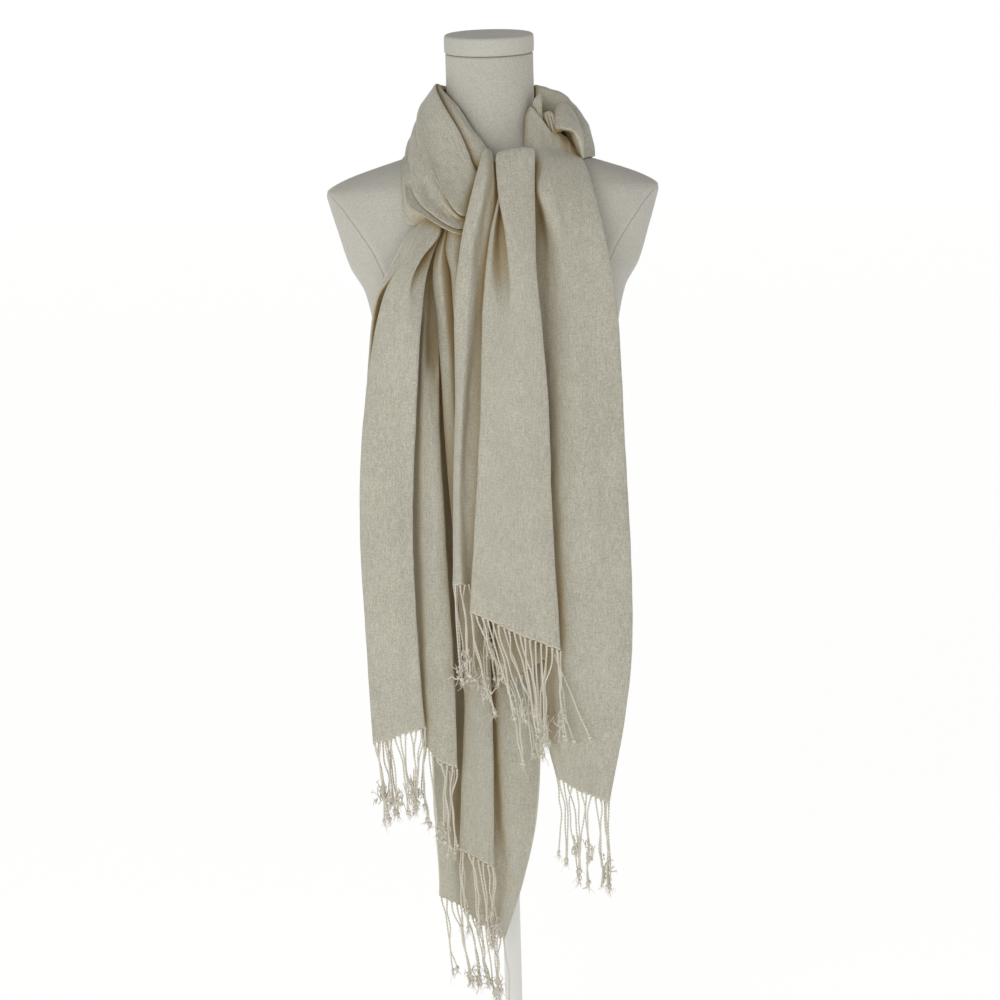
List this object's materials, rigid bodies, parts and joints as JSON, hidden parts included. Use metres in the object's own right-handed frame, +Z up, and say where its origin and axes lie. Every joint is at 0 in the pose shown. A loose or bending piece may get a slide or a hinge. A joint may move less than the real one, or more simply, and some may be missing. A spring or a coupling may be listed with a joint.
{
  "type": "pashmina shawl on a dress form",
  "caption": "Cream fringed pashmina shawl wound round the neck of a limbless dress form on a round stand, its layered ends hanging down the front.",
  "frame": {"origin": "middle of the stand base's underside, on the floor", "axes": "+Z up, -Y the way the form faces, +X to the right of a viewer who faces it"},
  "size_m": [0.404, 0.36, 1.4613],
  "materials": {
    "cream_twill": "soft brushed twill, faint sheen",
    "cream_yarn": "twisted warp ends of the same yarn",
    "form_linen": "plain stretched linen cover",
    "stand_paint": "pale powder coat"
  },
  "bodies": {
    "root": {"stand_base": "stand_paint", "stand_collar": "stand_paint", "stand_pole": "stand_paint", "stand_plate": "stand_paint", "form_torso": "form_linen", "form_neck_cap": "form_linen", "neck_loop": "cream_twill", "right_roll": "cream_twill", "right_twist": "cream_twill", "right_tail": "cream_twill", "right_fringe": "cream_yarn", "centre_front_tail": "cream_twill", "centre_front_fringe": "cream_yarn", "centre_side_tail": "cream_twill", "centre_side_fringe": "cream_yarn", "centre_inner_fold": "cream_twill", "centre_inner_fringe": "cream_yarn", "left_front_tail": "cream_twill", "left_front_fringe": "cream_yarn", "left_second_fold": "cream_twill", "left_second_fringe": "cream_yarn", "left_third_fold": "cream_twill", "left_third_fringe": "cream_yarn", "left_rear_fold": "cream_twill", "left_rear_fringe": "cream_yarn"}
  },
  "joints": []
}
